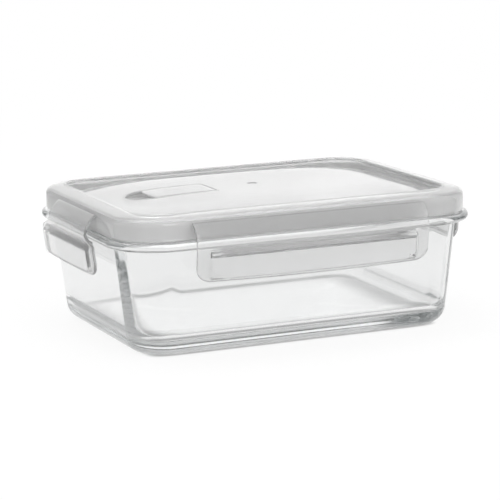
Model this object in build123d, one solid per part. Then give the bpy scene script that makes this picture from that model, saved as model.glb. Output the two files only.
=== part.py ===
from build123d import *
import math
import os

# Snap lid food container, millimetres. Origin at the centre of the foot, +Z up, long side along X.

# ---- glass dish ----
flange_length = 205.0
flange_width = 152.7
flange_corner = 29.0
flange_thickness = 4.3
flange_overhang = 5.3        # how far the flange stands out from the wall
flange_rounding = 1.9
dish_height = 61.3           # foot to the top of the glass
wall_draft = 6.6             # lean of the walls, degrees
wall_corner_gain = 3.8       # the wall's corner is this much rounder than the flange's, set in
glass_wall = 4.2
glass_base = 7.5
foot_round = 9.5
inner_round = 9.0
inner_corner_cut = 4.0       # the hollow's corners are this much tighter than the walls'

# ---- lid ----
lid_inset = 2.6              # the lid's outline lies this far inside the flange's
skirt_gap = 0.9              # from the top of the glass up to the skirt's lower edge
lid_wall = 1.8
rim_outer_height = 12.0      # top of the glass to the rim's outer shoulder
rim_inner_height = 13.4      # top of the glass to the rim's inner edge
rim_shoulder_round = 3.6
rim_inner_round = 0.9
lip_depth = 2.7              # how far the locating lip reaches into the mouth
lip_corner_gap = 1.777        # lip to glass at the corners, where they come nearest

# ---- domed panel ----
crown_height = 13.8          # top of the glass to the middle of the panel
dome_fall_end = 4.9          # crown down to the panel's edge, middle of a short side
dome_fall_side = 3.9         # the same, middle of a long side
dome_power = 4               # 2 is a plain bulge, higher is flat with rolled edges
dome_spans = 24              # spans each way in the panel's surface
panel_thickness = 1.8
gate_mark_radius = 2.85
gate_mark_depth = 0.35

# ---- vent ----
vent_edge_gap = 16.0         # from the panel's short edge to the recess's round end
vent_length = 47.2
vent_width = 24.2
vent_corner = 1.5
vent_depth = 4.4             # crown down to the recess floor
vent_floor = 1.6
vent_wall = 1.6
flap_length = 34.3           # from the recess's square end to the flap's straight tip
flap_tip_bulge = 1.6
flap_thickness = 1.7
flap_gap = 0.4               # round the flap, to the recess
flap_corner = 1.5
pin_radius = 0.55
pin_depth = 1.15             # the hinge line lies this far under the panel's crown
pin_setback = 2.5            # the hinge line lies this far from the recess's square end
pin_length = 1.0             # reach of each stub into the recess's wall
pin_running_gap = 0.05
plug_from_hinge = 17.2
plug_seat_drop = 0.6         # the flat seat for the plug stands this far under the flap
plug_radius = 4.2
plug_stem_radius = 2.2
plug_stem_reach = 1.1        # how far the stem reaches into the hole in the floor
vent_hole_radius = 2.8
soft_gap = 0.3               # between the soft plug and the recess floor

# ---- gasket ----
gasket_side_gap = 0.25
gasket_foot_height = 3.6
gasket_foot_taper = 0.9
gasket_groove_width = 2.6
gasket_groove_depth = 2.0

# ---- latches: drops are measured down from the top of the glass ----
hinge_drop = 3.3             # the rim's outer shoulder down to the hinge line
hinge_out = 0.7              # hinge line, outward from the skirt's face
bead_radius = 0.8
bead_gap = 0.3               # between the bead and its groove in the skirt
latch_thickness = 1.6
latch_standoff = 2.9         # from the flange's edge out to the plate, where its bend begins
knee_drop = 3.3              # where the bend begins
tab_drop = 21.7              # the tab's lower end
tab_lean = 7.0               # degrees
tab_corner = 8.0
tab_bottom_bulge = 1.2
long_latch_end = 7.9         # each end stops this far short of the lid's round corner
short_latch_end = 8.35
neck_step = 10.4             # a short latch's neck is this much narrower at each end
neck_drop = 0.7
shoulder_drop = 4.9
shoulder_round = 2.2
catch_gap = 0.3              # top of the catch ridge, under the flange
catch_clearance = 0.3        # from the ridge's tip to the flange's edge
catch_tip = 0.8
catch_root = 3.4
catch_inset = 3.0            # the ridge stops this far short of the pad's sides
pad_raise = 2.0
pad_border_long = 6.3
pad_border_short = 4.6
pad_side_slope = 1.2
pad_drop = 3.3
pad_top_slope = 3.7          # height of the pad's upper slope
pad_low_slope = 1.0
pad_low_border = 1.4         # the tab's lower end to the pad

cut_over = 1.0               # how far a cutting block runs past the face that it cuts

# ---- worked out from the above ----
flange_underside = dish_height - flange_thickness
mouth_length = flange_length - 2 * flange_overhang
mouth_width = flange_width - 2 * flange_overhang
wall_corner = flange_corner - flange_overhang + wall_corner_gain
wall_slope = math.tan(math.radians(wall_draft))
lid_length = flange_length - 2 * lid_inset
lid_width = flange_width - 2 * lid_inset
lid_corner = flange_corner - lid_inset
skirt_bottom = dish_height + skirt_gap
rim_outer_top = dish_height + rim_outer_height
rim_inner_top = dish_height + rim_inner_height
channel_roof = rim_outer_top - lid_wall
lip_bottom = dish_height - lip_depth

# The lip's corners are sharper than the glass's, so the rim is as wide as leaves the gap there.
lean_at_lip = (lip_bottom - flange_underside) * wall_slope
glass_face = flange_overhang + glass_wall - lid_inset - lean_at_lip  # in from the lid's side
glass_corner = wall_corner - glass_wall + lean_at_lip - inner_corner_cut
corner_share = math.sqrt(2) - 1
lip_reach = lip_corner_gap + glass_face + (glass_corner - lid_corner) * corner_share
rim_width = lid_wall + lip_reach / (1 - corner_share)

panel_length = lid_length - 2 * rim_width
panel_width = lid_width - 2 * rim_width
panel_corner = lid_corner - rim_width
crown = dish_height + crown_height
vent_round_end = vent_edge_gap - panel_length / 2
vent_square_end = vent_round_end + vent_length
vent_floor_z = crown - vent_depth
flap_hinge_x = vent_square_end - pin_setback
flap_hinge_z = crown - pin_depth
plug_x = flap_hinge_x - plug_from_hinge
hinge_z = rim_outer_top - hinge_drop
knee_out = lid_inset + latch_standoff + latch_thickness / 2
knee_z = dish_height - knee_drop
tab_bottom = dish_height - tab_drop
neck_bottom = dish_height - neck_drop
shoulder_bottom = dish_height - shoulder_drop
catch_top = flange_underside - catch_gap
pad_top = dish_height - pad_drop
pad_face_top = pad_top - pad_top_slope
pad_bottom = tab_bottom + pad_low_border
pad_face_bottom = pad_bottom + pad_low_slope
long_latch_half = lid_length / 2 - lid_corner - long_latch_end
short_latch_half = lid_width / 2 - lid_corner - short_latch_end
short_neck_half = short_latch_half - neck_step

STANDING = (Align.CENTER, Align.CENTER, Align.MIN)
HANGING = (Align.CENTER, Align.CENTER, Align.MAX)


def rounded_block(length, width, corner, bottom, top):
    """A straight-sided block with round corners between two heights."""
    outline = Pos(0, 0, bottom) * RectangleRounded(length, width, corner)
    return extrude(outline, top - bottom)


def leaning_block(inset, bottom, top, corner_cut=0):
    """A block with the walls' lean, inset from the dish's outer wall, between two heights."""
    grow = 2 * ((top - flange_underside) * wall_slope - inset)
    corner = wall_corner + grow / 2 - corner_cut
    outline = RectangleRounded(mouth_length + grow, mouth_width + grow, corner)
    return extrude(Pos(0, 0, top) * outline, top - bottom, dir=(0, 0, -1), taper=wall_draft)


def ring(profile):
    """Sweeps a section round the lid. Points are (distance in from the lid's side, height)."""
    half_l = lid_length / 2
    half_w = lid_width / 2
    right = [(0, -half_w), (half_l, -half_w), (half_l, half_w), (0, half_w)]
    left = [(-x, -y) for x, y in right]
    halves = [FilletPolyline(*points, radius=lid_corner) for points in (right, left)]
    path = Wire(halves[0].edges() + halves[1].edges())
    section_plane = Plane(origin=(0, -half_w, 0), x_dir=(0, 1, 0), z_dir=(1, 0, 0))
    section = section_plane * make_face(profile)
    return sweep(section, path=path, transition=Transition.RIGHT)


def glass_dish():
    """The tray: leaning walls, a rounded foot and a beaded flange."""
    body = leaning_block(0, 0, flange_underside)
    body = fillet(body.edges().group_by(Axis.Z)[0], foot_round)
    flange = rounded_block(flange_length, flange_width, flange_corner, flange_underside, dish_height)
    levels = flange.edges().group_by(Axis.Z)
    flange = fillet(levels[0] + levels[-1], flange_rounding)
    hollow = leaning_block(glass_wall, glass_base, dish_height + cut_over, inner_corner_cut)
    hollow = fillet(hollow.edges().group_by(Axis.Z)[0], inner_round)
    return body + flange - hollow


def dome_height(x, y):
    """Height of the panel's upper face."""
    fall_x = dome_fall_end * abs(2 * x / panel_length) ** dome_power
    fall_y = dome_fall_side * abs(2 * y / panel_width) ** dome_power
    return crown - fall_x - fall_y


def dome_solid():
    """Everything under the panel's upper face, a little wider than the panel."""
    half_l = panel_length / 2 + lid_wall
    half_w = panel_width / 2 + lid_wall
    grid = []
    for i in range(dome_spans + 1):
        x = half_l * (2 * i / dome_spans - 1)
        row = []
        for j in range(dome_spans + 1):
            y = half_w * (2 * j / dome_spans - 1)
            row.append(Vector(x, y, dome_height(x, y)))
        grid.append(row)
    skin = Face.make_surface_from_array_of_points(grid, tol=0.01)
    return extrude(skin, amount=panel_thickness + vent_depth + vent_floor + cut_over, dir=(0, 0, -1))


def vent_outline(grow):
    """The recess seen from above, one end square and one round, grown outward by an offset."""
    radius = vent_width / 2
    shoulder = vent_round_end + radius
    outline = make_face([
        Polyline((shoulder, radius), (vent_square_end, radius),
                 (vent_square_end, -radius), (shoulder, -radius)),
        ThreePointArc((shoulder, -radius), (vent_round_end, 0), (shoulder, radius)),
    ])
    square = outline.vertices().group_by(Axis.X)[-1]
    outline = fillet(square, vent_corner)
    return offset(outline, grow) if grow else outline


def lid_section():
    """Skirt, rim and locating lip, cut across."""
    inner = rim_width
    shoulder = Vector(rim_shoulder_round, rim_outer_top)
    crest = Vector(inner - rim_inner_round, rim_inner_top)
    return [
        Line((0, skirt_bottom), (0, rim_outer_top - rim_shoulder_round)),
        RadiusArc((0, rim_outer_top - rim_shoulder_round), shoulder, rim_shoulder_round),
        Line(shoulder, crest),
        RadiusArc(crest, (inner, rim_inner_top - rim_inner_round), rim_inner_round),
        Polyline(
            (inner, rim_inner_top - rim_inner_round), (inner, lip_bottom),
            (inner - lid_wall, lip_bottom), (inner - lid_wall, channel_roof),
            (lid_wall, channel_roof), (lid_wall, skirt_bottom), (0, skirt_bottom),
        ),
    ]


def lid_shell(dome):
    """The rim ring, the domed panel inside it and the vent's tray, as one moulding."""
    shell = ring(lid_section())
    panel_edge = lid_wall / 2
    trim = rounded_block(
        panel_length + 2 * panel_edge, panel_width + 2 * panel_edge, panel_corner + panel_edge,
        lip_bottom, crown + cut_over,
    )
    panel = (dome - Pos(0, 0, -panel_thickness) * dome) & trim
    tray_top = crown + cut_over
    tray_low = vent_floor_z - vent_floor
    tray = extrude(Pos(0, 0, tray_low) * vent_outline(vent_wall), tray_top - tray_low) & dome
    pocket = extrude(Pos(0, 0, vent_floor_z) * vent_outline(0), tray_top - vent_floor_z)
    shell = shell + (panel + tray - pocket)

    shell -= Pos(plug_x, 0, vent_floor_z) * Cylinder(vent_hole_radius, 2 * (vent_floor + cut_over))
    shell -= Pos(0, 0, crown) * Cylinder(gate_mark_radius, 2 * gate_mark_depth)
    bore_length = vent_width + 2 * (pin_length + pin_running_gap)
    bore = Cylinder(pin_radius + pin_running_gap, bore_length, rotation=(90, 0, 0))
    shell -= Pos(flap_hinge_x, 0, flap_hinge_z) * bore
    for turn, reach, (half, neck_half, pad_border) in latch_places().values():
        groove_length = 2 * (neck_half + bead_gap)
        groove = Cylinder(bead_radius + bead_gap, groove_length, rotation=(0, 90, 0))
        shell -= Rot(0, 0, turn) * Pos(0, reach + hinge_out, hinge_z) * groove
    return shell


def gasket():
    """The seal: fills the channel's upper part and stands on the glass on two feet."""
    left = lid_wall + gasket_side_gap
    right = rim_width - lid_wall - gasket_side_gap
    top = channel_roof
    waist = dish_height + gasket_foot_height
    middle = (left + right) / 2
    groove = gasket_groove_width / 2
    section = Polyline(
        (left, top), (left, waist), (left + gasket_foot_taper, dish_height),
        (middle - groove, dish_height), (middle - groove, dish_height + gasket_groove_depth),
        (middle + groove, dish_height + gasket_groove_depth), (middle + groove, dish_height),
        (right - gasket_foot_taper, dish_height), (right, waist), (right, top), (left, top),
    )
    return ring([section])


def plug_seat_height():
    """Height of the flat seat under the flap that the plug hangs from."""
    return dome_height(plug_x, 0) - flap_thickness - plug_seat_drop


def vent_flap(dome):
    """The lever: a slice of the panel's dome with a curved tip and two stub pins."""
    far = vent_square_end - flap_length
    near = vent_square_end - flap_gap
    half = vent_width / 2 - flap_gap
    outline = make_face([
        Polyline((far, half), (near, half), (near, -half), (far, -half)),
        ThreePointArc((far, -half), (far - flap_tip_bulge, 0), (far, half)),
    ])
    outline = fillet(outline.vertices(), flap_corner)
    slab = dome - Pos(0, 0, -flap_thickness) * dome
    lever = extrude(Pos(0, 0, vent_floor_z) * outline, vent_depth + cut_over) & slab
    seat_place = Pos(plug_x, 0, plug_seat_height())
    seat = seat_place * Cylinder(plug_radius, vent_depth, align=STANDING)
    pins = Cylinder(pin_radius, vent_width + 2 * pin_length, rotation=(90, 0, 0))
    return lever + (seat & dome) + Pos(flap_hinge_x, 0, flap_hinge_z) * pins


def vent_plug():
    """The seal under the flap: a disc over the hole with a stem in it."""
    disc_bottom = vent_floor_z + soft_gap
    disc = Cylinder(plug_radius, plug_seat_height() - disc_bottom, align=STANDING)
    stem = Cylinder(plug_stem_radius, plug_stem_reach + soft_gap, align=HANGING)
    return Pos(plug_x, 0, disc_bottom) * (disc + stem)


def latch_places():
    """Each latch's turn about Z, the skirt's distance from the middle, and its three sizes."""
    long = (long_latch_half, long_latch_half, pad_border_long)
    short = (short_latch_half, short_neck_half, pad_border_short)
    return {
        "latch_front": (180, lid_width / 2, long),
        "latch_back": (0, lid_width / 2, long),
        "latch_left": (90, lid_length / 2, short),
        "latch_right": (-90, lid_length / 2, short),
    }


def plate_section(inward, outward):
    """The latch's side view between two offsets from its centre line, (outward, height)."""
    lean = math.radians(tab_lean)
    run_out = knee_out - hinge_out
    run_up = hinge_z - knee_z
    chord = math.hypot(run_out, run_up)
    half_turn = math.atan2(run_out, run_up) + lean
    bend = chord / (2 * math.sin(half_turn))
    tab_length = (knee_z - tab_bottom + cut_over) / math.cos(lean)
    up = Vector(math.sin(lean), math.cos(lean))
    out = Vector(math.cos(lean), -math.sin(lean))
    knee = Vector(knee_out, knee_z)
    curves = []
    for shift in (-inward, outward):
        corner = knee + out * shift
        tab = Line(corner - up * tab_length, corner)
        neck = JernArc(corner, up, bend + shift, math.degrees(2 * half_turn))
        curves.append((tab, neck))
    (tab_in, neck_in), (tab_out, neck_out) = curves
    return make_face([
        tab_in, neck_in, Line(neck_in @ 1, neck_out @ 1),
        neck_out, tab_out, Line(tab_out @ 0, tab_in @ 0),
    ])


def tab_face(height, shift):
    """How far out the straight tab lies at a height, at an offset from its centre line."""
    lean = math.radians(tab_lean)
    return knee_out - (knee_z - height) * math.tan(lean) + shift / math.cos(lean)


def tab_outline(half, neck_half):
    """The latch seen from the front: rounded lower corners, and shoulders where it has a neck."""
    low = tab_bottom + tab_bottom_bulge
    high = hinge_z + 2 * bead_radius
    left = [(-neck_half, high)]
    if neck_half < half:
        left += [(-neck_half, neck_bottom), (-half, shoulder_bottom)]
    left += [(-half, low)]
    right = [(-x, z) for x, z in reversed(left)]
    outline = make_face([
        Polyline(*left),
        ThreePointArc((-half, low), (0, tab_bottom), (half, low)),
        Polyline(*right),
        Line((neck_half, high), (-neck_half, high)),
    ])
    outline = fillet(outline.vertices().group_by(Axis.Y)[0], tab_corner)
    if neck_half < half:
        shoulders, necks = outline.vertices().group_by(Axis.Y)[-3:-1]
        outline = fillet(shoulders + necks, shoulder_round)
    return Plane.XZ * outline


def pad_solid(half):
    """The raised thumb pad: sloped shoulder on top, drafted sides."""
    face = latch_thickness / 2
    raised = face + pad_raise
    top = Vector(tab_face(pad_top, face), pad_top)
    top_edge = Vector(tab_face(pad_face_top, raised), pad_face_top)
    low_edge = Vector(tab_face(pad_face_bottom, raised), pad_face_bottom)
    low = Vector(tab_face(pad_bottom, face), pad_bottom)
    root = Vector(-face, 0)
    section = make_face(Polyline(top, top_edge, low_edge, low, low + root, top + root, top))
    bar = extrude(Plane.YZ * section, half, both=True)

    base_out = tab_face(pad_bottom, face)
    slope = math.degrees(math.atan2(pad_side_slope, pad_raise))
    base_gain = (top.X - base_out) * pad_side_slope / pad_raise
    middle = (pad_top + pad_bottom) / 2
    base = Plane(origin=(0, base_out, middle), x_dir=(1, 0, 0), z_dir=(0, 1, 0))
    outline = base * Rectangle(2 * (half + base_gain), 4 * (pad_top - pad_bottom))
    return bar & extrude(outline, knee_out + raised - base_out + cut_over, taper=slope)


def latch(half, neck_half, pad_border):
    """One latch, hinged along X at the skirt's face (Y = 0) and hanging down outside it."""
    face = latch_thickness / 2
    plate = extrude(Plane.YZ * plate_section(face, face), half, both=True)
    plate &= extrude(tab_outline(half, neck_half), 2 * knee_out, both=True)
    bead = Cylinder(bead_radius, 2 * neck_half, rotation=(0, 90, 0))
    plate += Pos(0, hinge_out, hinge_z) * bead

    pad_half = half - pad_border
    hollow = Pos(0, -latch_thickness, 0) * pad_solid(pad_half - face)
    plate = plate + pad_solid(pad_half) - hollow

    tip = lid_inset + catch_clearance
    root = catch_top - catch_root
    ridge = make_face(Polyline(
        (tip, catch_top), (tab_face(catch_top, face / 2), catch_top),
        (tab_face(root, face + pad_raise / 2), root),
        (tip, catch_top - catch_tip), (tip, catch_top),
    ))
    return plate + extrude(Plane.YZ * ridge, pad_half - catch_inset, both=True)


def build():
    dome = dome_solid()
    nodes = {
        "glass_dish": glass_dish(),
        "lid_shell": lid_shell(dome),
        "lid_gasket": gasket(),
        "vent_flap": vent_flap(dome),
        "vent_plug": vent_plug(),
    }
    for name, (turn, reach, size) in latch_places().items():
        nodes[name] = Rot(0, 0, turn) * Pos(0, reach, 0) * latch(*size)
    return nodes


os.makedirs("parts", exist_ok=True)
for name, shape in build().items():
    export_step(shape, f"parts/{name}.step")
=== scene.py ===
# %% [markdown]
# # A glass food dish with a clear lid, four latches and a vent
#
# The dish is pressed glass with a thick foot. The lid is clear, slightly milky plastic with a silicone
# seal under its rim. Four latches hang from the lid's skirt and snap under the glass flange, and a small
# flap in the lid's panel lets steam out. The moving parts come from the frame, a packed engineering model
# of the same object, and every mesh made here lies where its part lies there.

# %% Load the frame
import bmesh
import bpy
import math
import numpy as np
from mathutils import Matrix, Vector


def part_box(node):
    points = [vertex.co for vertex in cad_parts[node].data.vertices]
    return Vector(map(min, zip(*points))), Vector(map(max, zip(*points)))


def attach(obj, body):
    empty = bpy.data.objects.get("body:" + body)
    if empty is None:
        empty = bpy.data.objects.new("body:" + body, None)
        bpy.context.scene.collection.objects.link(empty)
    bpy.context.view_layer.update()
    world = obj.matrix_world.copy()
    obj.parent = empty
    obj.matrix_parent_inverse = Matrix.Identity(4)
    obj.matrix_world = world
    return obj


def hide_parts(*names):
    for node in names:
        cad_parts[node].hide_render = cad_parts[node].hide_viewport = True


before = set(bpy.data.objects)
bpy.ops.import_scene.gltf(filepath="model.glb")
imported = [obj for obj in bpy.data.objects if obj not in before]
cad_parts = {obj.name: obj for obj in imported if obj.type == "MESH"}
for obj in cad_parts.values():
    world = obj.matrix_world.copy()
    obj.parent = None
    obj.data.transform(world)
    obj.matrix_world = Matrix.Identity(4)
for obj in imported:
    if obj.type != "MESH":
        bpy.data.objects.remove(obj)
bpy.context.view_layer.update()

# %% [markdown]
# Blender's unit here is the metre, but a small kitchen object is easier to think about in millimetres, so
# every size below is in millimetres and is turned into metres once, when a mesh is made. The outer sizes
# are read from the frame's boxes, and the rest hang from them.

# %% Driving sizes
MM = 0.001


def highest_corner(name):
    """A part's highest corner, in millimetres."""
    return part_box(name)[1] / MM


dish_high = highest_corner("glass_dish")
lid_high = highest_corner("lid_shell")
flange_half = Vector((dish_high.x, dish_high.y))
lid_half = Vector((lid_high.x, lid_high.y))
glass_top = dish_high.z
crown = lid_high.z
print("flange", flange_half * 2, "lid", lid_half * 2)
print("glass top", round(glass_top, 2), "crown", round(crown, 2))

# %% [markdown]
# Blender keeps data, such as a mesh, a lamp or a lens, apart from the object that gives it a place.

# %% Making objects
def object_of(name, data):
    """An object that shows some data, linked to the scene."""
    made = bpy.data.objects.new(name, data)
    bpy.context.scene.collection.objects.link(made)
    return made


def object_from(name, shape):
    """An object with a bmesh's faces. The bmesh is freed."""
    mesh = bpy.data.meshes.new(name)
    shape.to_mesh(mesh)
    shape.free()
    return object_of(name, mesh)


print("objects go to", bpy.context.scene.collection.name)

# %% [markdown]
# The camera looks a little down on a front corner, with a long lens from over a metre away, so the far
# side is hardly smaller than the near one. A camera in Blender looks along its own -Z axis, so its turn is
# built from three directions: right, up, and back towards the camera.

# %% Camera
camera_azimuth = math.radians(-23.5)
camera_elevation = math.radians(11.06)
camera_roll = math.radians(-1.05)
camera_target = Vector((-3.1, -2.7, 38.9)) * MM
camera_distance = 1.2576
camera_lens = 166.9
camera_sensor = 36

back = Vector((
    math.sin(camera_azimuth) * math.cos(camera_elevation),
    -math.cos(camera_azimuth) * math.cos(camera_elevation),
    math.sin(camera_elevation),
))
level_right = Vector((0, 0, 1)).cross(back).normalized()
level_up = back.cross(level_right)
right = level_right * math.cos(camera_roll) + level_up * math.sin(camera_roll)
up = level_up * math.cos(camera_roll) - level_right * math.sin(camera_roll)
camera = object_of("camera", bpy.data.cameras.new("camera"))
camera.data.lens = camera_lens
camera.data.sensor_width = camera_sensor
camera.matrix_world = Matrix.Translation(camera_target + back * camera_distance) @ Matrix(
    (right, up, back)
).transposed().to_4x4()
bpy.context.scene.camera = camera
print("camera at", [round(v, 3) for v in camera.location])

# %% [markdown]
# Materials are trees of nodes, and the sums in them read best as sums. `Wire` holds one output of a node.
# Adding or multiplying two of them makes a Math node, or a Vector Math node where a colour or a vector is
# one of the two, and `Tree.node` makes any other kind of node.

# %% Shader kit
class Wire:
    """One socket of a node tree, with arithmetic."""

    def __init__(self, tree, socket):
        self.tree = tree
        self.socket = socket

    def joined(self, operation, *others):
        several = [self, *others]
        wide = any(isinstance(w, Wire) and w.socket.type in ("RGBA", "VECTOR") for w in several)
        kind = "ShaderNodeVectorMath" if wide else "ShaderNodeMath"
        return self.tree.node(kind, {"operation": operation}, dict(enumerate(several)))

    def __add__(self, other):
        return self.joined("ADD", other)

    __radd__ = __add__

    def __sub__(self, other):
        return self.joined("SUBTRACT", other)

    def __rsub__(self, other):
        return self.tree.constant(other).joined("SUBTRACT", self)

    def __mul__(self, other):
        return self.joined("MULTIPLY", other)

    __rmul__ = __mul__

    def __truediv__(self, other):
        return self.joined("DIVIDE", other)

    def __pow__(self, other):
        return self.joined("POWER", other)

    def clipped(self):
        return self.joined("MAXIMUM", 0.0).joined("MINIMUM", 1.0)


class Tree:
    """A node tree to which nodes are added by type."""

    def __init__(self, tree):
        self.tree = tree

    def constant(self, number):
        return self.node("ShaderNodeValue", {"out": number})

    def node(self, kind, settings=None, sockets=None, output=0):
        """A node of a type: its settings first, then values or wires by socket name or number."""
        made = self.tree.nodes.new(kind)
        for name, value in (settings or {}).items():
            if name == "out":
                made.outputs[0].default_value = value
            elif name == "stops":
                self.set_stops(made.color_ramp, value)
            else:
                setattr(made, name, value)
        for name, value in (sockets or {}).items():
            socket = made.inputs[name]
            if isinstance(value, Wire):
                self.tree.links.new(value.socket, socket)
            elif socket.type in ("RGBA", "VECTOR") and isinstance(value, (int, float)):
                socket.default_value = [value] * len(socket.default_value)
            else:
                socket.default_value = value
        return Wire(self, made.outputs[output]) if made.outputs else made

    @staticmethod
    def set_stops(ramp, stops):
        while len(ramp.elements) < len(stops):
            ramp.elements.new(1.0)
        for element, (place, grey) in zip(ramp.elements, stops):
            element.position = place
            element.color = (grey, grey, grey, 1)


print("shader kit ready")

# %% [markdown]
# Some small groups of nodes come back in several materials. Object coordinates, in metres, stay with the
# object when it moves, so a pattern on them doesn't slide when the lid opens.

# %% Small shader helpers
def new_material(name):
    material = bpy.data.materials.new(name)
    material.use_nodes = True
    material.node_tree.nodes.clear()
    return material, Tree(material.node_tree)


def object_place(tree):
    """Where a point lies on its object."""
    return tree.node("ShaderNodeTexCoord", output=3)


def length_of(tree, vector):
    return tree.node("ShaderNodeVectorMath", {"operation": "LENGTH"}, {0: vector}, output=1)


def height_of(tree, vector):
    return tree.node("ShaderNodeSeparateXYZ", sockets={0: vector}, output=2)


def graded(tree, stops, value):
    """A number run through a ramp of greys, from (place, grey) stops."""
    ramp = tree.node("ShaderNodeValToRGB", {"stops": stops}, {0: value})
    return tree.node("ShaderNodeRGBToBW", sockets={0: ramp})


print("shader helpers ready")

# %% [markdown]
# Clear glass in front of plain white has no edges, unless some of the light that it bends comes from
# somewhere darker. A studio lights glassware with a white sweep behind it, a soft light overhead and
# dimmer surroundings at the sides and in front, so that is what is built here. One rule gives the
# brightness of every direction near the horizon, and both the sky and the far floor follow it. The floor
# mixes its own light with a diffuse surface, so it still takes the dish's shadow.

# %% Studio rule
studio_stops = [(0.0, 0.6), (0.3, 0.5), (0.6, 0.36), (0.84, 0.5), (0.95, 1.0)]
studio_light = 1.15
floor_share = 0.7
sweep_turn = math.radians(-12)
behind_dish = (Matrix.Rotation(sweep_turn, 3, "Z") @ Vector((-back.x, -back.y, 0))).normalized()


def studio(tree, direction):
    """How bright the studio is in a direction: white behind the dish, dim at the sides and in front."""
    facing = tree.node("ShaderNodeVectorMath", {"operation": "DOT_PRODUCT"},
                       {0: direction, 1: behind_dish}, output=1)
    return graded(tree, studio_stops, facing * 0.5 + 0.5)


def ray_kinds(tree, *kinds):
    """1 for rays of the named kinds, else 0."""
    path = tree.node("ShaderNodeLightPath").socket.node
    first, *rest = [Wire(tree, path.outputs[kind]) for kind in kinds]
    for other in rest:
        first = first.joined("MAXIMUM", other)
    return first


print("studio levels from front to back", studio_stops)

# %% [markdown]
# The floor is a wide disc that meets the sky far behind the dish. Its mesh lies a little under the foot,
# because a surface that touches clear glass renders as dark streaks.

# %% Floor mesh
floor_radius = 14.0
floor_sides = 96
floor_drop = 0.3

shape = bmesh.new()
bmesh.ops.create_circle(shape, cap_ends=True, radius=floor_radius, segments=floor_sides)
bmesh.ops.translate(shape, verts=shape.verts, vec=(0, 0, -floor_drop * MM))
floor = object_from("floor", shape)
print("floor", 2 * floor_radius, "m wide")

# %% [markdown]
# A thick glass dish gathers light under its middle and leaves a thin shadow round its foot. A path tracer
# finds such focused light slowly, so the floor has both painted in: brighter inside the foot's outline,
# darker in a ring under its edge. The outline is a rounded rectangle, made by raising the parts of a
# vector to a high power before its length is taken.

# %% Light under the foot
foot_half = (89, 63)
foot_power = 8
foot_light = 1.5
foot_stops = [(0.36, 1.0), (0.43, 0.3), (0.455, 0.3), (0.475, 1 / foot_light)]


def foot_patch(tree, place):
    """The floor's light under the foot, as a share of foot_light: 1 in the middle, least at the edge."""
    sizes = (1 / (foot_half[0] * MM), 1 / (foot_half[1] * MM), 0)
    shares = tree.node("ShaderNodeVectorMath", {"operation": "MULTIPLY"}, {0: place, 1: sizes})
    edge = length_of(tree, shares ** foot_power) ** (1 / foot_power)
    return graded(tree, foot_stops, edge * 0.5)


print("foot's ring", [round(2 * place * foot_half[0], 1) for place, grey in foot_stops], "mm out along X")

# %% [markdown]
# Near the dish the floor is lit like a table, and further out it takes on the studio's brightness in its
# direction. Only rays straight from the camera find it plain white all round the dish.

# %% Floor light
floor_glow = 0.88
floor_colour = (0.93, 0.93, 0.93, 1)
table_reach = 0.3
shadow_reach = 0.9

material, tree = new_material("white_sweep")
place = object_place(tree)
distance = length_of(tree, place)
away = ((distance - table_reach) / table_reach).clipped()
white = ray_kinds(tree, "Is Camera Ray")
level = studio(tree, place.joined("NORMALIZE")) * (studio_light * floor_share)
level = 1 - away * (1 - level) * (1 - white)
level = level * foot_patch(tree, place) * foot_light
glow = tree.node("ShaderNodeEmission", sockets={"Color": (1, 1, 1, 1), "Strength": level})
surface = tree.node("ShaderNodeBsdfDiffuse", sockets={"Color": floor_colour})
far = (distance / shadow_reach).clipped()
seen = ray_kinds(tree, "Is Camera Ray", "Is Glossy Ray", "Is Transmission Ray")
share = seen * (far * (1 - floor_glow) + floor_glow)
mixed = tree.node("ShaderNodeMixShader", sockets={0: share, 1: surface, 2: glow})
tree.node("ShaderNodeOutputMaterial", sockets={"Surface": mixed})
floor.data.materials.append(material)
print("floor glow", floor_glow, "near the dish")

# %% [markdown]
# The sky is what a ray meets when it misses the floor. It is white for the camera, and for all other rays it
# follows the studio's rule near the horizon and is evenly bright overhead.

# %% Sky
sky_overhead = 1.05
overhead_stops = [(0.25, 0.0), (0.75, 1.0)]

world = bpy.data.worlds.new("studio")
bpy.context.scene.world = world
world.use_nodes = True
world.node_tree.nodes.clear()
tree = Tree(world.node_tree)
direction = tree.node("ShaderNodeTexCoord")
overhead = graded(tree, overhead_stops, height_of(tree, direction))
level = studio(tree, direction) * studio_light
level = level + overhead * (sky_overhead - level)
strength = level + ray_kinds(tree, "Is Camera Ray") * (1 - level)
sky = tree.node("ShaderNodeBackground", sockets={"Color": (1, 1, 1, 1), "Strength": strength})
tree.node("ShaderNodeOutputWorld", sockets={"Surface": sky})
print("sky overhead", sky_overhead)

# %% [markdown]
# Two soft boxes light the dish, one from above and one from in front. Where the glass walls guide a ray
# round a corner it needs dozens of bounces, or the corner turns black.

# %% Lamps
lamp_boxes = {"top_box": ((-0.35, 0.35, 1.5), 1.0, 6), "front_box": ((0.1, -1.6, 0.9), 0.9, 8)}
glass_bounces = 100
clear_bounces = 16


def soft_box(name, place, size, power):
    """A square area lamp that faces the dish."""
    lamp = bpy.data.lights.new(name, "AREA")
    lamp.shape = "SQUARE"
    lamp.size = size
    lamp.energy = power
    holder = object_of(name, lamp)
    aim = (Vector(place) - camera_target).to_track_quat("Z", "Y")
    holder.matrix_world = Matrix.Translation(place) @ aim.to_matrix().to_4x4()


for name, settings in lamp_boxes.items():
    soft_box(name, *settings)
bpy.context.scene.view_settings.view_transform = "Standard"
cycles = bpy.context.scene.cycles
cycles.max_bounces = glass_bounces
cycles.transmission_bounces = glass_bounces
cycles.glossy_bounces = glass_bounces
cycles.transparent_max_bounces = clear_bounces
print("lamps", [light.name for light in bpy.data.lights])

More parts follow.
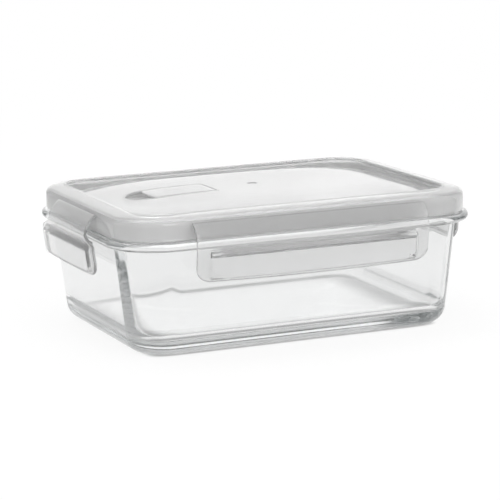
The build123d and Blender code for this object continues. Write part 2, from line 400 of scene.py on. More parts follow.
# %% [markdown]
# Moulded surfaces are never quite flat or evenly polished. A Bump node fed with slow noise bends the
# reflections without moving the surface, and a little noise in the roughness makes some patches duller.
# Both read Object coordinates, and their sizes are given in millimetres.

# %% Finish helpers
ripple_depth = 0.2


def noise_of(tree, place, size, detail, roughness):
    """Noise whose lumps have a size in millimetres."""
    return tree.node("ShaderNodeTexNoise", sockets={
        "Vector": place, "Scale": 1 / (size * MM), "Detail": detail, "Roughness": roughness,
    })


def ripple(tree, size, strength, squash=1):
    """A Bump of slow noise, squashed in height into streaks."""
    noise = noise_of(tree, object_place(tree) * (1, 1, squash), size, 2.0, 0.5)
    return tree.node("ShaderNodeBump", sockets={
        "Strength": strength, "Distance": ripple_depth * MM, "Height": noise,
    })


def smudges(tree, size, low, high):
    """Roughness that drifts between two values in patches."""
    return noise_of(tree, object_place(tree), size, 3.0, 0.55) * (high - low) + low


def finished(tree, shader, tint=None, density=0.0):
    """Wires a shader to the output, with the light that a long way through the material takes away."""
    sockets = {"Surface": tree.node("ShaderNodeBsdfPrincipled", sockets=shader)}
    if tint:
        sockets["Volume"] = tree.node(
            "ShaderNodeVolumeAbsorption", sockets={"Color": tint, "Density": density})
    tree.node("ShaderNodeOutputMaterial", sockets=sockets)


print("ripple", ripple_depth, "mm deep")

# %% [markdown]
# The dish is pressed glass: nearly colourless, faintly grey-green where light goes a long way inside it,
# with a slow ripple from its mould. A volume that absorbs does this better than a darker colour on the
# skin, because it dims thick glass more than thin. The foot's underside is finely stippled, which is only
# added roughness on the lowest millimetre.

# %% Pressed glass
glass_colour = (0.925, 0.928, 0.928, 1)
glass_tint = (0.7, 0.72, 0.722, 1)
glass_density = 5.0
stipple_top = 0.3
stipple_fade = 0.8
stipple_rough = 0.3


def stipple(tree):
    """Extra roughness on the foot's underside, which fades out just above it."""
    height = height_of(tree, object_place(tree))
    return (1 - (height - stipple_top * MM) / (stipple_fade * MM)).clipped() * stipple_rough


pressed_glass, tree = new_material("pressed_glass")
finished(tree, {
    "Base Color": glass_colour,
    "Roughness": stipple(tree) + smudges(tree, 60, 0.0, 0.03),
    "IOR": 1.5,
    "Transmission Weight": 1.0,
    "Normal": ripple(tree, 45, 0.25),
}, glass_tint, glass_density)
print("glass absorbs at", glass_density)

# %% [markdown]
# The lid and latches are one clear plastic that scatters a share of the light, its milk, and passes the
# rest. The latches are made clearer than the lid. Below their bend, where the tab hangs in front of the
# dish, they are given a darker grey, which is painted shade. That change is a blend of two greys over a few
# millimetres of height.

# %% Clear plastics
plastic_tint = (0.7, 0.715, 0.718, 1)
plastic_density = 20.0
painted_shade_start = 56
painted_shade_span = 6


def clear_plastic(name, high, low, rough, milk, grain=0.12, squash=1):
    """Plastic of two greys: its own grey above the height where the latches bend, and a darker one below it,
    which is painted shade.
    """
    material, tree = new_material(name)
    height = height_of(tree, object_place(tree))
    # painted shade: below this height the colour turns to the darker grey
    painted_shade_blend = ((height - painted_shade_start * MM) / (painted_shade_span * MM)).clipped()
    finished(tree, {
        "Base Color": painted_shade_blend * (high - low) + low,
        "Roughness": smudges(tree, 35, rough * 0.8, rough * 1.2),
        "IOR": 1.49,
        "Transmission Weight": 1 - milk,
        "Normal": ripple(tree, 18, grain, squash=squash),
    }, plastic_tint, plastic_density)
    return material


milky_plastic = clear_plastic("milky_plastic", 0.95, 0.95, 0.1, 0.25, 0.2, 6)
# the latches' second, darker grey is painted shade on the tab below the bend
latch_plastic = clear_plastic("latch_plastic", 0.985, 0.83, 0.06, 0.1)
print("plastic absorbs at", plastic_density)

# %% [markdown]
# The seals are silicone, which is soft, matt and hardly lets light through. A rough skin with a finer
# ripple and a small share of transmission is enough, and no volume is needed.

# %% Silicone
silicone_colour = (0.95, 0.955, 0.955, 1)

seal_silicone, tree = new_material("seal_silicone")
finished(tree, {
    "Base Color": silicone_colour,
    "Roughness": smudges(tree, 20, 0.35, 0.5),
    "IOR": 1.41,
    "Transmission Weight": 0.12,
    "Normal": ripple(tree, 6, 0.2),
})
print("finishes", [m.name for m in bpy.data.materials])

# %% [markdown]
# The dish, the lid and the seal are all stacks of rounded rectangles: walk along their cross-section, and
# at each step the outline is a rectangle of some length, width, corner radius and height. So one Geometry
# Nodes tree makes all three. Its input is a string of points, one per step, that carries those numbers as
# attributes. A template, a square 4 wide with corners of radius 1, gives for each point of the outline a
# place on the inner square from -1 to 1 and the direction outward from it, which is all that a rounded
# rectangle needs.

# %% Inputs of the stack
weld = 0.002


def stack_group():
    """An empty Geometry Nodes tree with the stack's inputs."""
    group = bpy.data.node_groups.new("rounded_stack", "GeometryNodeTree")
    face = group.interface
    face.new_socket("Geometry", in_out="OUTPUT", socket_type="NodeSocketGeometry")
    face.new_socket("Geometry", in_out="INPUT", socket_type="NodeSocketGeometry")
    for name in ("Corner Steps", "Side Cuts"):
        face.new_socket(name, in_out="INPUT", socket_type="NodeSocketInt")
    for name in ("Centre X", "Dome Half Length", "Dome Half Width", "Fall End", "Fall Side"):
        face.new_socket(name, in_out="INPUT", socket_type="NodeSocketFloat")
    face.new_socket("Material", in_out="INPUT", socket_type="NodeSocketMaterial")
    return group


def stack_sheet(tree, entry):
    """The template, a grid with a column for each of its points, and each grid point's column and level."""
    square = tree.node("GeometryNodeCurvePrimitiveQuadrilateral", sockets={"Width": 4.0, "Height": 4.0})
    corners = tree.node("GeometryNodeFilletCurve", {"mode": "POLY"}, {
        "Curve": square, "Count": entry("Corner Steps"), "Radius": 1.0,
    })
    template = tree.node("GeometryNodeSubdivideCurve", sockets={
        "Curve": corners, "Cuts": entry("Side Cuts"),
    })
    around_count = tree.node("GeometryNodeAttributeDomainSize", {"component": "CURVE"}, {0: template})
    level_count = tree.node(
        "GeometryNodeAttributeDomainSize", {"component": "MESH"}, {0: entry("Geometry")})
    sheet = tree.node("GeometryNodeMeshGrid", sockets={
        "Vertices X": around_count + 1, "Vertices Y": level_count,
    })
    index = tree.node("GeometryNodeInputIndex")
    around = (index / level_count).joined("FLOOR")
    level = index - around * level_count
    return template, sheet, around.joined("MODULO", around_count), level


print("welds points closer than", weld, "mm")

# %% [markdown]
# The tree then puts each point of the sheet in its place. The outline's corner radius scales the outward
# direction and the rest scales the inner square. A level that follows the dome sinks by a fourth power of
# the distance from the middle, so the panel is flat in the middle and rolls down at its edges.

# %% The stack's tree
dome_power = 4


def loft_tree():
    group = stack_group()
    tree = Tree(group)
    given = group.nodes.new("NodeGroupInput")

    def entry(name):
        return Wire(tree, given.outputs[name])

    template, sheet, around, level = stack_sheet(tree, entry)
    position = tree.node("GeometryNodeInputPosition")

    def sample(source, kind, value, at):
        return tree.node("GeometryNodeSampleIndex", {"data_type": kind}, {
            "Geometry": source, "Value": value, "Index": at,
        })

    def carried(name):
        value = tree.node("GeometryNodeInputNamedAttribute", {"data_type": "FLOAT"}, {"Name": name})
        return sample(entry("Geometry"), "FLOAT", value, level)

    outline = sample(template, "FLOAT_VECTOR", position, around)
    inner = outline.joined("MAXIMUM", (-1, -1, 0)).joined("MINIMUM", (1, 1, 0))
    outward = (outline - inner).joined("NORMALIZE")
    corner = carried("corner")
    core = tree.node("ShaderNodeCombineXYZ", sockets={
        "X": carried("half_length") - corner, "Y": carried("half_width") - corner,
    })
    centre = tree.node("ShaderNodeCombineXYZ", sockets={"X": entry("Centre X")})
    flat = inner * core + outward * corner + centre
    axes = tree.node("ShaderNodeSeparateXYZ", sockets={0: flat}).socket.node
    fall = 0.0
    for axis, half, drop in (("X", "Dome Half Length", "Fall End"), ("Y", "Dome Half Width", "Fall Side")):
        reach = Wire(tree, axes.outputs[axis]) / entry(half)
        fall = reach.joined("ABSOLUTE") ** dome_power * entry(drop) + fall
    points = sample(entry("Geometry"), "FLOAT_VECTOR", position, level)
    heights = height_of(tree, points)
    risen = tree.node("ShaderNodeCombineXYZ", sockets={
        "X": Wire(tree, axes.outputs["X"]), "Y": Wire(tree, axes.outputs["Y"]),
        "Z": heights - fall * carried("follow"),
    })
    placed = tree.node("GeometryNodeSetPosition", sockets={"Geometry": sheet, "Position": risen})
    closed = tree.node("GeometryNodeMergeByDistance", sockets={"Geometry": placed, "Distance": weld * MM})
    plain = tree.node("GeometryNodeRealizeInstances", sockets={"Geometry": closed})
    dressed = tree.node("GeometryNodeSetMaterial", sockets={
        "Geometry": plain, "Material": entry("Material"),
    })
    tree.node("NodeGroupOutput", sockets={0: dressed})
    return group


rounded_stack = loft_tree()
print("tree", rounded_stack.name, len(rounded_stack.nodes), "nodes")

# %% [markdown]
# Every piece ends the same way: its modifiers are worked into a plain mesh, its faces are turned outward,
# and it is smoothed everywhere except at its hard edges. Then it is hung on an empty for the body that it
# rides on, and the engineering part that it stands for is hidden.

# %% Finishing a piece
smooth_below = math.radians(32)
sliver = 0.001


def evaluated_mesh(holder):
    """The object's mesh with its modifiers worked in."""
    graph = bpy.context.evaluated_depsgraph_get()
    mesh = bpy.data.meshes.new_from_object(holder.evaluated_get(graph))
    holder.modifiers.clear()
    return mesh


def facing_out(mesh):
    """Turns a closed mesh's faces outward and smooths it: gives its volume in cm3 and its open edges."""
    shape = bmesh.new()
    shape.from_mesh(mesh)
    bmesh.ops.dissolve_degenerate(shape, dist=sliver * MM, edges=shape.edges)
    bmesh.ops.recalc_face_normals(shape, faces=shape.faces)
    volume = shape.calc_volume(signed=True)
    if volume < 0:
        bmesh.ops.reverse_faces(shape, faces=shape.faces)
    open_edges = sum(1 for edge in shape.edges if not edge.is_manifold)
    shape.to_mesh(mesh)
    shape.free()
    mesh.shade_smooth()
    mesh.set_sharp_from_angle(angle=smooth_below)
    return abs(volume) / MM ** 3 / 1000, open_edges


def finish_piece(made, material, body, slot, *nodes):
    """Gives a piece its finish, hangs it on its body's empty and hides the engineering part that it stands
    for.
    """
    made.data.materials.clear()
    made.data.materials.append(material)
    made.data.polygons.foreach_set("material_index", [0] * len(made.data.polygons))
    volume, open_edges = facing_out(made.data)
    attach(made, body)
    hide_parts(*nodes)
    print(f"{made.name}: {volume:.1f} cm3, {len(made.data.polygons)} faces, {open_edges} open edges")


print("hard edges over", round(math.degrees(smooth_below)), "degrees")

# %% [markdown]
# A stack's input is a string of points with its numbers as attributes, and a modifier takes the sizes that
# are the same for all levels. A modifier's input is set by its socket's identifier, not by its name.

# %% Stacking levels
no_dome = (1.0, 1.0, 0.0, 0.0)


def stacked(name, levels, material, corner_steps, side_cuts, dome=no_dome, centre_x=0.0):
    """Lofts levels, each (half length, half width, corner, height, dome share), into one object."""
    values = np.array(levels, dtype=float)
    string = bpy.data.meshes.new(name)
    points = [(0, 0, z * MM) for z in values[:, 3]]
    string.from_pydata(points, [(i, i + 1) for i in range(len(points) - 1)], [])
    for column, label in ((0, "half_length"), (1, "half_width"), (2, "corner"), (4, "follow")):
        scale = 1 if label == "follow" else MM
        string.attributes.new(label, "FLOAT", "POINT").data.foreach_set("value", values[:, column] * scale)
    holder = object_of(name, string)
    modifier = holder.modifiers.new("stack", "NODES")
    modifier.node_group = rounded_stack
    settings = {
        "Corner Steps": corner_steps, "Side Cuts": side_cuts, "Material": material,
        "Centre X": centre_x * MM,
        "Dome Half Length": dome[0] * MM, "Dome Half Width": dome[1] * MM,
        "Fall End": dome[2] * MM, "Fall Side": dome[3] * MM,
    }
    for socket in rounded_stack.interface.items_tree:
        if socket.name in settings:
            modifier[socket.identifier] = settings[socket.name]
    holder.data = evaluated_mesh(holder)
    return holder


def arc(centre, radius, start, end, steps):
    """Points on an arc in the section's plane, between two angles in degrees."""
    turns = np.radians(np.linspace(start, end, steps + 1))
    return [(centre[0] + radius * math.cos(t), centre[1] + radius * math.sin(t)) for t in turns]


print("quarter arc", [(round(x, 2), round(y, 2)) for x, y in arc((0, 0), 1, 0, 90, 2)])

# %% [markdown]
# The glass dish. Its walls lean out by a few degrees so that it leaves its mould, the foot is thick and
# well rounded, and a beaded flange runs round the mouth. The section is walked from the middle of the
# foot, up the outside, over the flange, and down the inside to the middle of the floor. The first and
# last levels shrink to a line, which closes the flat faces.

# %% Dish sizes
flange_corner = 29.0
flange_thickness = 4.3
flange_overhang = 5.3
flange_rounding = 1.9
wall_lean = math.radians(6.6)
wall_corner = 27.5
glass_wall = 4.2
glass_base = 7.5
foot_round = 9.5
inner_round = 9.0
inner_corner_gain = -4.0
mouth_round = 1.3
underside = glass_top - flange_thickness
mouth_half = flange_half - Vector((flange_overhang, flange_overhang))
slope = math.tan(wall_lean)
bend_steps = 16
bead_steps = 6
mouth_steps = 5
print("mouth", mouth_half * 2, "wall leans", round(math.degrees(wall_lean), 1), "degrees")


# %% Dish levels
def around_wall(offset, height, gain=0):
    """A level at a distance out from the mouth's outer face, its corner larger by a gain."""
    return (mouth_half.x + offset, mouth_half.y + offset, wall_corner + offset + gain, height, 0)


def around_flange(offset, height):
    """A level at a distance in from the flange's edge."""
    return (flange_half.x - offset, flange_half.y - offset, flange_corner - offset, height, 0)


def closing_line(height):
    """A level shrunk to a line along the dish."""
    return (mouth_half.x - mouth_half.y, 0, 0, height, 0)


def bend_centre(wall_offset, floor, radius):
    """Where a bend between a leaning wall and a level floor has its centre."""
    height = floor + radius
    return wall_offset + (height - underside) * slope - radius / math.cos(wall_lean), height


def dish_levels():
    lean = -math.degrees(wall_lean)
    outer = arc(bend_centre(0, 0, foot_round), foot_round, -90, lean, bend_steps)
    inner = arc(bend_centre(-glass_wall, glass_base, inner_round), inner_round, lean, -90, bend_steps)
    low_bead = arc((flange_rounding, underside + flange_rounding), flange_rounding, -90, -180, bead_steps)
    top_bead = arc((flange_rounding, glass_top - flange_rounding), flange_rounding, 180, 90, bead_steps)
    inside_top = -glass_wall + (glass_top - underside) * slope
    mouth = arc((inside_top + mouth_round, glass_top - mouth_round), mouth_round, 90, 180, mouth_steps)
    levels = [closing_line(0)]
    levels += [around_wall(x, z) for x, z in outer]
    levels += [around_wall(0, underside)]
    levels += [around_flange(x, z) for x, z in low_bead + top_bead]
    levels += [around_wall(x, z, inner_corner_gain) for x, z in mouth + inner]
    levels += [closing_line(glass_base)]
    return levels


print(len(dish_levels()), "levels")

# %% Glass dish
dish = stacked("glass_dish_shape", dish_levels(), pressed_glass, corner_steps=12, side_cuts=1)
finish_piece(dish, pressed_glass, "dish", "dish_glass", "glass_dish")

# %% [markdown]
# The lid is one moulding: an upside-down channel that sits over the glass rim, and a domed panel inside
# it. The section starts under the middle of the panel, goes out to the channel, down and round the lip,
# through the channel, round the skirt and the rim's soft shoulder, and back over the panel. The two faces
# of the panel follow the dome: flat in the middle, and rolled down towards the edges.

# %% Lid sizes
lid_corner = 26.4
lid_wall = 1.8
skirt_bottom = 62.2
rim_outer_top = 73.3
rim_inner_top = 74.7
rim_shoulder = 3.6
rim_inner_round = 0.9
lip_bottom = 58.6
channel_roof = 71.5
rim_width = 11.407
edge_round = 0.35
panel_half = lid_half - Vector((rim_width, rim_width))
panel_thickness = 1.8
panel_root = 0.9
panel_shares = (0, 0.12, 0.25, 0.38, 0.5, 0.61, 0.7, 0.78, 0.85, 0.91, 0.96, 1.0)
dome_fall = (4.9, 3.9)
dome = (panel_half.x, panel_half.y, *dome_fall)
print("panel", panel_half * 2)


# %% Lid levels
def dome_height(x, y):
    """Height of the panel's upper face."""
    end = dome_fall[0] * abs(x / panel_half.x) ** dome_power
    side = dome_fall[1] * abs(y / panel_half.y) ** dome_power
    return crown - end - side


def around_lid(inset, height, follow=0):
    """A level at a distance in from the lid's side."""
    return (lid_half.x - inset, lid_half.y - inset, max(lid_corner - inset, 0), height, follow)


def panel_levels(depth, root):
    """Levels over the panel from its middle to a distance from its edge, some depth under its top."""
    full = lid_half.y
    insets = [full - (full - rim_width - root) * share for share in panel_shares]
    return [around_lid(inset, crown - depth, 1) for inset in insets]


def lid_levels():
    inner, outer = rim_width, rim_width - lid_wall
    levels = panel_levels(panel_thickness, 0)
    for centre, start, end in (
        ((inner - edge_round, lip_bottom + edge_round), 0, -90),
        ((outer + edge_round, lip_bottom + edge_round), -90, -180),
    ):
        levels += [around_lid(x, z) for x, z in arc(centre, edge_round, start, end, 3)]
    levels += [around_lid(outer, channel_roof), around_lid(lid_wall, channel_roof)]
    for centre, radius, start, end, steps in (
        ((lid_wall - edge_round, skirt_bottom + edge_round), edge_round, 0, -90, 3),
        ((edge_round, skirt_bottom + edge_round), edge_round, -90, -180, 3),
        ((rim_shoulder, rim_outer_top - rim_shoulder), rim_shoulder, 180, 90, 8),
        ((inner - rim_inner_round, rim_inner_top - rim_inner_round), rim_inner_round, 90, 0, 5),
    ):
        levels += [around_lid(x, z) for x, z in arc(centre, radius, start, end, steps)]
    root = arc((inner + panel_root, crown + panel_root), panel_root, 180, 270, 4)
    levels += [around_lid(x, z, 1) for x, z in root]
    levels += panel_levels(0, panel_root)[-2::-1]
    return levels


lid = stacked("lid_shell_shape", lid_levels(), milky_plastic, corner_steps=3, side_cuts=9, dome=dome)
print("lid", len(lid.data.polygons), "faces before the vent")

# %% [markdown]
# The vent is a tray that hangs under the panel, square at its hinge end and round at the scoop that a
# fingertip enters. Its outline has nothing to do with the lid's, so it is added and hollowed with
# Booleans: a block is joined to the panel from below, and smaller ones are cut out of both.

# %% Blocks and Booleans
def block(name, outline, low, high, top_outline=None):
    """A cutting block: an outline of (x, y) points between two heights, each a number or a rule."""
    def at(level, x, y):
        return level(x, y) if callable(level) else level

    shape = bmesh.new()
    rings = [[shape.verts.new((x * MM, y * MM, at(level, x, y) * MM)) for x, y in points]
             for level, points in ((low, outline), (high, top_outline or outline))]
    shape.faces.new(reversed(rings[0]))
    shape.faces.new(rings[1])
    count = len(outline)
    for i in range(count):
        j = (i + 1) % count
        shape.faces.new((rings[0][i], rings[0][j], rings[1][j], rings[1][i]))
    bmesh.ops.triangulate(shape, faces=shape.faces)
    bmesh.ops.recalc_face_normals(shape, faces=shape.faces)
    return object_from(name, shape)


def joined_with(piece, tool, operation):
    """Adds or cuts a block with a Boolean, and discards the block."""
    modifier = piece.modifiers.new(tool.name, "BOOLEAN")
    modifier.operation = operation
    modifier.solver = "EXACT"
    modifier.object = tool
    bpy.context.view_layer.update()
    old = piece.data
    piece.data = evaluated_mesh(piece)
    bpy.data.meshes.remove(old)
    bpy.data.objects.remove(tool)


print("blocks ready")

# %% [markdown]
# The recess has a slightly broken edge, which catches a highlight. A hole in its floor lets steam out, and
# the mould's gate, where the plastic came in, leaves a small round mark in the middle of the panel.

# %% Vent sizes
vent_half = 12.1
vent_square_end = -25.29
vent_length = 47.2
vent_floor_z = 70.7
vent_wall = 1.6
vent_corner = 1.5
plug_x = -44.99
hole_radius = 2.8
gate_radius = 2.85
gate_depth = 0.35
hinge_x = -27.79
hinge_z = 73.95
edge_in = -0.3
edge_out = 1.5
edge_depth = 0.8
edge_over = 1.0
cut_over = 3
hole_over = 1
corner_points = 6
end_points = 35


def vent_outline(grow):
    """The recess from above, grown outward by a distance, with no point of its round end on the X axis."""
    half = vent_half + grow
    square = vent_square_end + grow
    corner = vent_corner + grow
    centre = vent_square_end - vent_length + vent_half
    outline = arc((square - corner, corner - half), corner, -90, 0, corner_points)
    outline += arc((square - corner, half - corner), corner, 0, 90, corner_points)
    outline += arc((centre, 0), half, 90, 270, end_points)
    return outline


def disc(radius, x, sides=40):
    return arc((x, 0), radius, 0, 360 * (1 - 1 / sides), sides - 1)


def inside_panel(x, y):
    return dome_height(x, y) - panel_thickness / 2


def just_under(x, y):
    return dome_height(x, y) - edge_depth


def above_panel(x, y):
    return dome_height(x, y) + edge_over


print("recess outline", len(vent_outline(0)), "points")

# %% Vent recess and gate mark
above = crown + cut_over
tray_low = vent_floor_z - vent_wall
hole_span = (vent_floor_z - cut_over, vent_floor_z + hole_over)
edge = (vent_outline(edge_in), just_under, above_panel, vent_outline(edge_out))
joined_with(lid, block("tray", vent_outline(vent_wall), tray_low, inside_panel), "UNION")
joined_with(lid, block("pocket", vent_outline(0), vent_floor_z, above), "DIFFERENCE")
joined_with(lid, block("vent_edge", *edge), "DIFFERENCE")
joined_with(lid, block("vent_hole", disc(hole_radius, plug_x), *hole_span), "DIFFERENCE")
joined_with(lid, block("gate_mark", disc(gate_radius, 0), crown - gate_depth, above), "DIFFERENCE")
finish_piece(lid, milky_plastic, "lid", "lid_plastic", "lid_shell")

# %% [markdown]
# The seal is a silicone ring that fills the top of the channel and stands on the glass on two feet, with a
# groove between them. Here it stops a tenth of a millimetre short of both, for the same reason as the
# floor. Its section is closed, so the last level repeats the first.

# %% Seal
gasket_gap = 0.25
air_gap = 0.1
seal_waist = 64.9
seal_taper = 0.9
seal_groove = 1.3
seal_groove_depth = 2.0


def seal_levels():
    left, right = lid_wall + gasket_gap, rim_width - lid_wall - gasket_gap
    middle = (left + right) / 2
    foot, top = glass_top + air_gap, channel_roof - air_gap
    groove_top = glass_top + seal_groove_depth
    section = [(left, top), (left, seal_waist), (left + seal_taper, foot),
               (middle - seal_groove, foot), (middle - seal_groove, groove_top),
               (middle + seal_groove, groove_top), (middle + seal_groove, foot),
               (right - seal_taper, foot), (right, seal_waist), (right, top), (left, top)]
    return [around_lid(x, z) for x, z in section]


seal = stacked("seal_ring", seal_levels(), seal_silicone, corner_steps=8, side_cuts=1)
finish_piece(seal, seal_silicone, "lid", "silicone", "lid_gasket")

# %% [markdown]
# The vent flap is a thin slice of the same dome, so it lies flush in its recess, with a bulging tip for a
# fingertip. It is a stack that follows the dome, and its tip is bent outward point by point afterwards. It
# turns on two stub pins, and a round seat under it carries the plug.

# %% Vent flap sizes
flap_gap = 0.4
flap_length = 34.3
flap_tip_bulge = 1.6
flap_thickness = 1.7
flap_corner = 1.5
flap_edge = 0.4
pin_radius = 0.55
pin_seat = 1.0
pin_sides = 20
seat_drop = 0.6
seat_depth = 1.2
plug_radius = 4.2

flap_near = vent_square_end - flap_gap
flap_far = vent_square_end - flap_length
flap_centre = (flap_near + flap_far) / 2
flap_half = ((flap_near - flap_far) / 2, vent_half - flap_gap)
seat_z = dome_height(plug_x, 0) - flap_thickness - seat_drop
print("flap", round(flap_near - flap_far, 2), "by", round(2 * flap_half[1], 2), "mm")

# %% Vent flap
def flap_levels():
    def around(inset, drop):
        corner = max(flap_corner - inset, 0)
        return (flap_half[0] - inset, flap_half[1] - inset, corner, crown - drop, 1)

    under = [around(flap_half[1] * share, flap_thickness) for share in (1, 0.75, 0.5, 0.25)]
    low = [around(x, flap_thickness - z) for x, z in arc((flap_edge, flap_edge), flap_edge, -90, -180, 3)]
    high = [around(x, flap_edge - z) for x, z in arc((flap_edge, 0), flap_edge, 180, 90, 3)]
    over = [around(flap_half[1] * share, 0) for share in (0.25, 0.5, 0.75, 1)]
    return under + low + high + over


flap = stacked("flap_shape", flap_levels(), milky_plastic, corner_steps=2, side_cuts=7,
               dome=dome, centre_x=flap_centre)
for vertex in flap.data.vertices:
    x, y, z = vertex.co / MM
    along = (flap_near - x) / (flap_near - flap_far)
    vertex.co.x -= flap_tip_bulge * MM * along ** 4 * (1 - (y / flap_half[1]) ** 2)
pin_reach = vent_half + pin_seat
across_turn = Matrix.Rotation(math.pi / 2, 4, "X")
shape = bmesh.new()
bmesh.ops.create_cone(
    shape, cap_ends=True, segments=pin_sides, radius1=pin_radius * MM, radius2=pin_radius * MM,
    depth=2 * pin_reach * MM, matrix=Matrix.Translation((hinge_x * MM, 0, hinge_z * MM)) @ across_turn,
)
joined_with(flap, object_from("pins", shape), "UNION")
joined_with(flap, block("seat", disc(plug_radius, plug_x), seat_z, crown - seat_depth), "UNION")
finish_piece(flap, milky_plastic, "vent", "lid_plastic", "vent_flap")

# %% [markdown]
# The plug is a silicone button under the flap, with a stem that enters the hole. It is turned like a lathe
# piece, and a stack does that too: each of its levels is a disc.

# %% Vent plug
stem_radius = 2.2
stem_reach = 1.1
plug_gap = 0.3
plug_edge = 0.2
stem_edge = 0.4

foot = vent_floor_z + plug_gap
stem_end = vent_floor_z - stem_reach
plug_section = [
    (0, seat_z), (plug_radius - plug_edge, seat_z), (plug_radius, seat_z - plug_edge),
    (plug_radius, foot + plug_edge), (plug_radius - plug_edge, foot), (stem_radius + plug_edge, foot),
    (stem_radius, foot - plug_edge), (stem_radius, stem_end + stem_edge),
    (stem_radius - stem_edge, stem_end), (0, stem_end),
]
plug_levels = [(radius, radius, radius, z, 0) for radius, z in plug_section]
plug = stacked("plug_shape", plug_levels, seal_silicone, corner_steps=4, side_cuts=1, centre_x=plug_x)
finish_piece(plug, seal_silicone, "vent", "silicone", "vent_plug")

# %% [markdown]
# A latch is a thin plate that hangs from a hinge bead at the lid's skirt, bends out over the glass flange
# and comes down as a straight tab with a raised thumb pad. The pad is hollow behind, and a ridge on the
# back snaps under the flange. The plate is drawn as a sheet of points: one direction runs up its side
# view, the other across it. Two such sheets, front and back, lie at their own distances from the middle
# line, and both distances shrink to nothing along the outline, which rounds the edges and closes the form.

# %% Latch sizes
latch_face = 0.8
latch_lean = math.radians(7)
hinge_out = 0.7
bead_z = 70.0
knee_out = 6.3
knee_z = 58.0
tab_bottom = 39.6
tab_corner = 8.0
tab_bulge = 1.2
pad_raise = 2.0
pad_top = 58.0
pad_face_top = 54.3
pad_low = 41.0
pad_face_low = 42.0
pad_side = 1.2
pad_corner = 3.7
catch_out = 2.9
catch_top = 56.7
catch_tip = 0.8
catch_root = 53.3
catch_inset = 3.0
shoulder_low = 56.0
shoulder_high = 61.0

bend_turn = math.atan2(knee_out - hinge_out, bead_z - knee_z) + latch_lean
bend_radius = math.hypot(knee_out - hinge_out, bead_z - knee_z) / (2 * math.sin(bend_turn))
tab_run = (knee_z - tab_bottom) / math.cos(latch_lean)
bend_run = 2 * bend_turn * bend_radius
latch_run = tab_run + bend_run + latch_face
print("latch: tab", round(tab_run, 1), "bend", round(bend_run, 1), "radius", round(bend_radius, 2))


# %% [markdown]
# The middle line is a straight tab, an arc and a short straight end. Its runs lie close together where the
# shape changes most: at both ends, and from the catch to the pad's upper edge.

# %% Middle line of a latch
def middle_line(run):
    """Points (out, up) and outward normals of the latch's middle line, at runs from its lower end."""
    lean = latch_lean
    left = tab_run - run
    tab = np.stack([knee_out - left * math.sin(lean), knee_z - left * math.cos(lean)], -1)
    turn = np.clip((run - tab_run) / bend_radius, 0, 2 * bend_turn) - lean
    centre = np.array([knee_out - bend_radius * math.cos(lean), knee_z + bend_radius * math.sin(lean)])
    bend = centre + bend_radius * np.stack([np.cos(turn), np.sin(turn)], -1)
    past = np.clip(run - tab_run - bend_run, 0, None)[:, None]
    bend = bend + past * np.stack([-np.sin(turn), np.cos(turn)], -1)
    points = np.where((run < tab_run)[:, None], tab, bend)
    normals = np.stack([np.cos(turn), np.sin(turn)], -1)
    return points, normals


latch_runs = np.concatenate([
    np.array([0, 0.05, 0.15, 0.3, 0.5, 0.8]), np.linspace(1.1, 3.0, 9), np.linspace(4, 12.8, 7),
    np.linspace(13.3, 18.9, 24), np.linspace(19.4, latch_run - 0.8, 16),
    latch_run - np.array([0.5, 0.3, 0.15, 0.05, 0]),
])
line, normals = middle_line(latch_runs)
line_up = line[:, 1:]
print(len(latch_runs), "runs, up to", line_up[-1].round(1), "mm")

# %% [markdown]
# The rows that cross the middle line are laid where the shape changes: close together at the side of the
# pad and at the outline, and wide apart on the flat faces. The short latches narrow to a neck above their
# shoulders, and every latch has round lower corners.

# %% Outline and rows of a latch
steepest = 2.6
pad_margin = 0.3
pad_to_side = (2.2, 1.5)
row_knots = np.array([0, 0.55, 0.75, 0.86, 1.0])
row_shares = np.concatenate([
    np.linspace(0, 0.55, 11), np.linspace(0.565, 0.75, 10), np.linspace(0.78, 0.86, 3),
    0.86 + 0.14 * np.array([0.2, 0.4, 0.6, 0.8, 0.93, 1.0]),
])
corner_left = np.clip(tab_corner - latch_runs, 0, None)


def soft_step(value):
    value = np.clip(value, 0, 1)
    return value * value * (3 - 2 * value)


def latch_outline(half, neck_half):
    """The half width at each run, and how much longer than the run the outline is there."""
    rise = (line_up[:, 0] - shoulder_low) / (shoulder_high - shoulder_low)
    wide = half + (neck_half - half) * soft_step(rise)
    climb = np.gradient(wide, latch_runs)
    wide = np.minimum(wide, half - tab_corner + np.sqrt(tab_corner ** 2 - corner_left ** 2))
    return wide, np.sqrt(1 + climb ** 2)


def places_across(wide, steep, pad_half):
    """Places across each row, from side to side."""
    edge = latch_face * np.minimum(steep, steepest)
    inner_pad = np.minimum(pad_half - pad_side - pad_margin, wide - pad_to_side[0] * edge)
    outer_pad = np.minimum(pad_half + pad_margin, wide - pad_to_side[1] * edge)
    rows = np.array([np.interp(row_shares, row_knots, [0, *stops])
                     for stops in zip(inner_pad, outer_pad, wide - edge, wide)])
    return np.concatenate([-rows[:, :0:-1], rows], axis=1)


print(2 * len(row_shares) - 1, "places in a row")

# %% [markdown]
# Three things set how far the two faces lie from the middle line: the plate's own thickness, which rounds
# its edges, the pad, which pushes the front out and hollows the back, and the catch, a ridge on the back.

# %% Faces of a latch
tiny = 1e-6


def pad_height(across, half):
    """How much of the pad's full height is reached, for a pad of some half width."""
    side = np.clip(np.abs(across) - (half - pad_corner), 0, None)
    over = np.clip(line_up - (pad_top - pad_corner), 0, None) + 0 * across
    under = np.clip(pad_low + pad_corner - line_up, 0, None) + 0 * across
    inside = pad_corner - np.hypot(side, np.maximum(over, under))
    end = np.where(over > 0, pad_top - pad_face_top, pad_face_low - pad_low)
    level = np.maximum(over, under) ** 2
    slope_width = (pad_side * side ** 2 + end * level + tiny) / (side ** 2 + level + tiny)
    return soft_step(inside / slope_width)


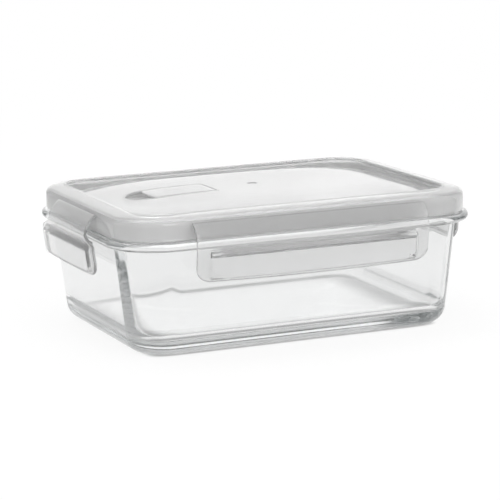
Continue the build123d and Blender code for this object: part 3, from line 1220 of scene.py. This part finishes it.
def plate_half(across, wide, steep, half):
    """Half the plate's thickness, which shrinks to nothing along the outline."""
    past_side = np.clip(np.abs(across) - (half - tab_corner), 0, None)
    corner_low = corner_left[:, None]
    to_side = (wide[:, None] - np.abs(across)) / steep[:, None]
    to_low = np.where(corner_low > 0, tab_corner - np.hypot(past_side, corner_low), tab_corner)
    to_top = (latch_run - latch_runs)[:, None]
    short = [np.clip(latch_face - d, 0, None) for d in (np.minimum(to_side, to_low), to_top)]
    return np.sqrt(np.clip(latch_face ** 2 - np.maximum(*short) ** 2, 0, None))


def back_depth(across, plate, pad_half):
    """How far the back face lies behind the middle line."""
    behind = plate - pad_raise * pad_height(across, pad_half - latch_face)
    ridge_out = np.clip((line_up - catch_root) / (catch_top - catch_tip - catch_root), 0, 1)
    on_ridge = (line_up <= catch_top) & (np.abs(across) <= pad_half - catch_inset)
    ridge = np.where(on_ridge, ridge_out, 0)
    reach_in = line[:, :1] - catch_out
    return np.where(ridge > 0, behind + ridge * (reach_in - behind), behind)


print("pad", pad_raise, "mm high, catch", catch_out, "mm out")


# %% Latch mesh
def latch_sheets(half, neck_half, border):
    """Places across, and the front and back sheets as points (out, up), run by run."""
    pad_half = half - border
    wide, steep = latch_outline(half, neck_half)
    across = places_across(wide, steep, pad_half)
    plate = plate_half(across, wide, steep, half)
    front = plate + pad_raise * pad_height(across, pad_half)
    behind = back_depth(across, plate, pad_half)
    sag = tab_bulge * (across / half) ** 2 * np.clip(1 - latch_runs / tab_corner, 0, 1)[:, None]
    base = line[:, None, :] + sag[..., None] * np.array([math.sin(latch_lean), math.cos(latch_lean)])
    return across, [base + normals[:, None, :] * offset[..., None] for offset in (front, -behind)]


def latch_object(name, turn, reach, half, neck_half, border):
    """One latch: its two sheets turned to its side of the lid and joined along the outline."""
    spot = Matrix.Rotation(math.radians(turn), 3, "Z")
    across, sheets = latch_sheets(half, neck_half, border)
    shape = bmesh.new()
    for sheet in sheets:
        rows = [[shape.verts.new(spot @ Vector((u, reach + o, z)) * MM) for u, (o, z) in zip(*row)]
                for row in zip(across, sheet)]
        for lower, upper in zip(rows, rows[1:]):
            for i in range(len(lower) - 1):
                shape.faces.new((lower[i], lower[i + 1], upper[i + 1], upper[i]))
    bmesh.ops.remove_doubles(shape, verts=shape.verts, dist=weld * MM)
    return object_from(name, shape)


print("catch's tip", round(catch_top - catch_tip, 1), "mm up")

# %% [markdown]
# The long latches are plain across their whole height, and the short ones have the neck. All four are the
# same two sheets with other widths, turned to their side of the lid.

# %% Four latches
long_half, long_border = 65.6, 6.3
short_half, short_neck, short_border = 39.0, 28.6, 4.6
for side, turn, reach, sizes in (
    ("front", 180, lid_half.y, (long_half, long_half, long_border)),
    ("back", 0, lid_half.y, (long_half, long_half, long_border)),
    ("left", 90, lid_half.x, (short_half, short_neck, short_border)),
    ("right", -90, lid_half.x, (short_half, short_neck, short_border)),
):
    made = latch_object(f"latch_{side}_shape", turn, reach, *sizes)
    finish_piece(made, latch_plastic, f"latch_{side}", "lid_plastic", f"latch_{side}")
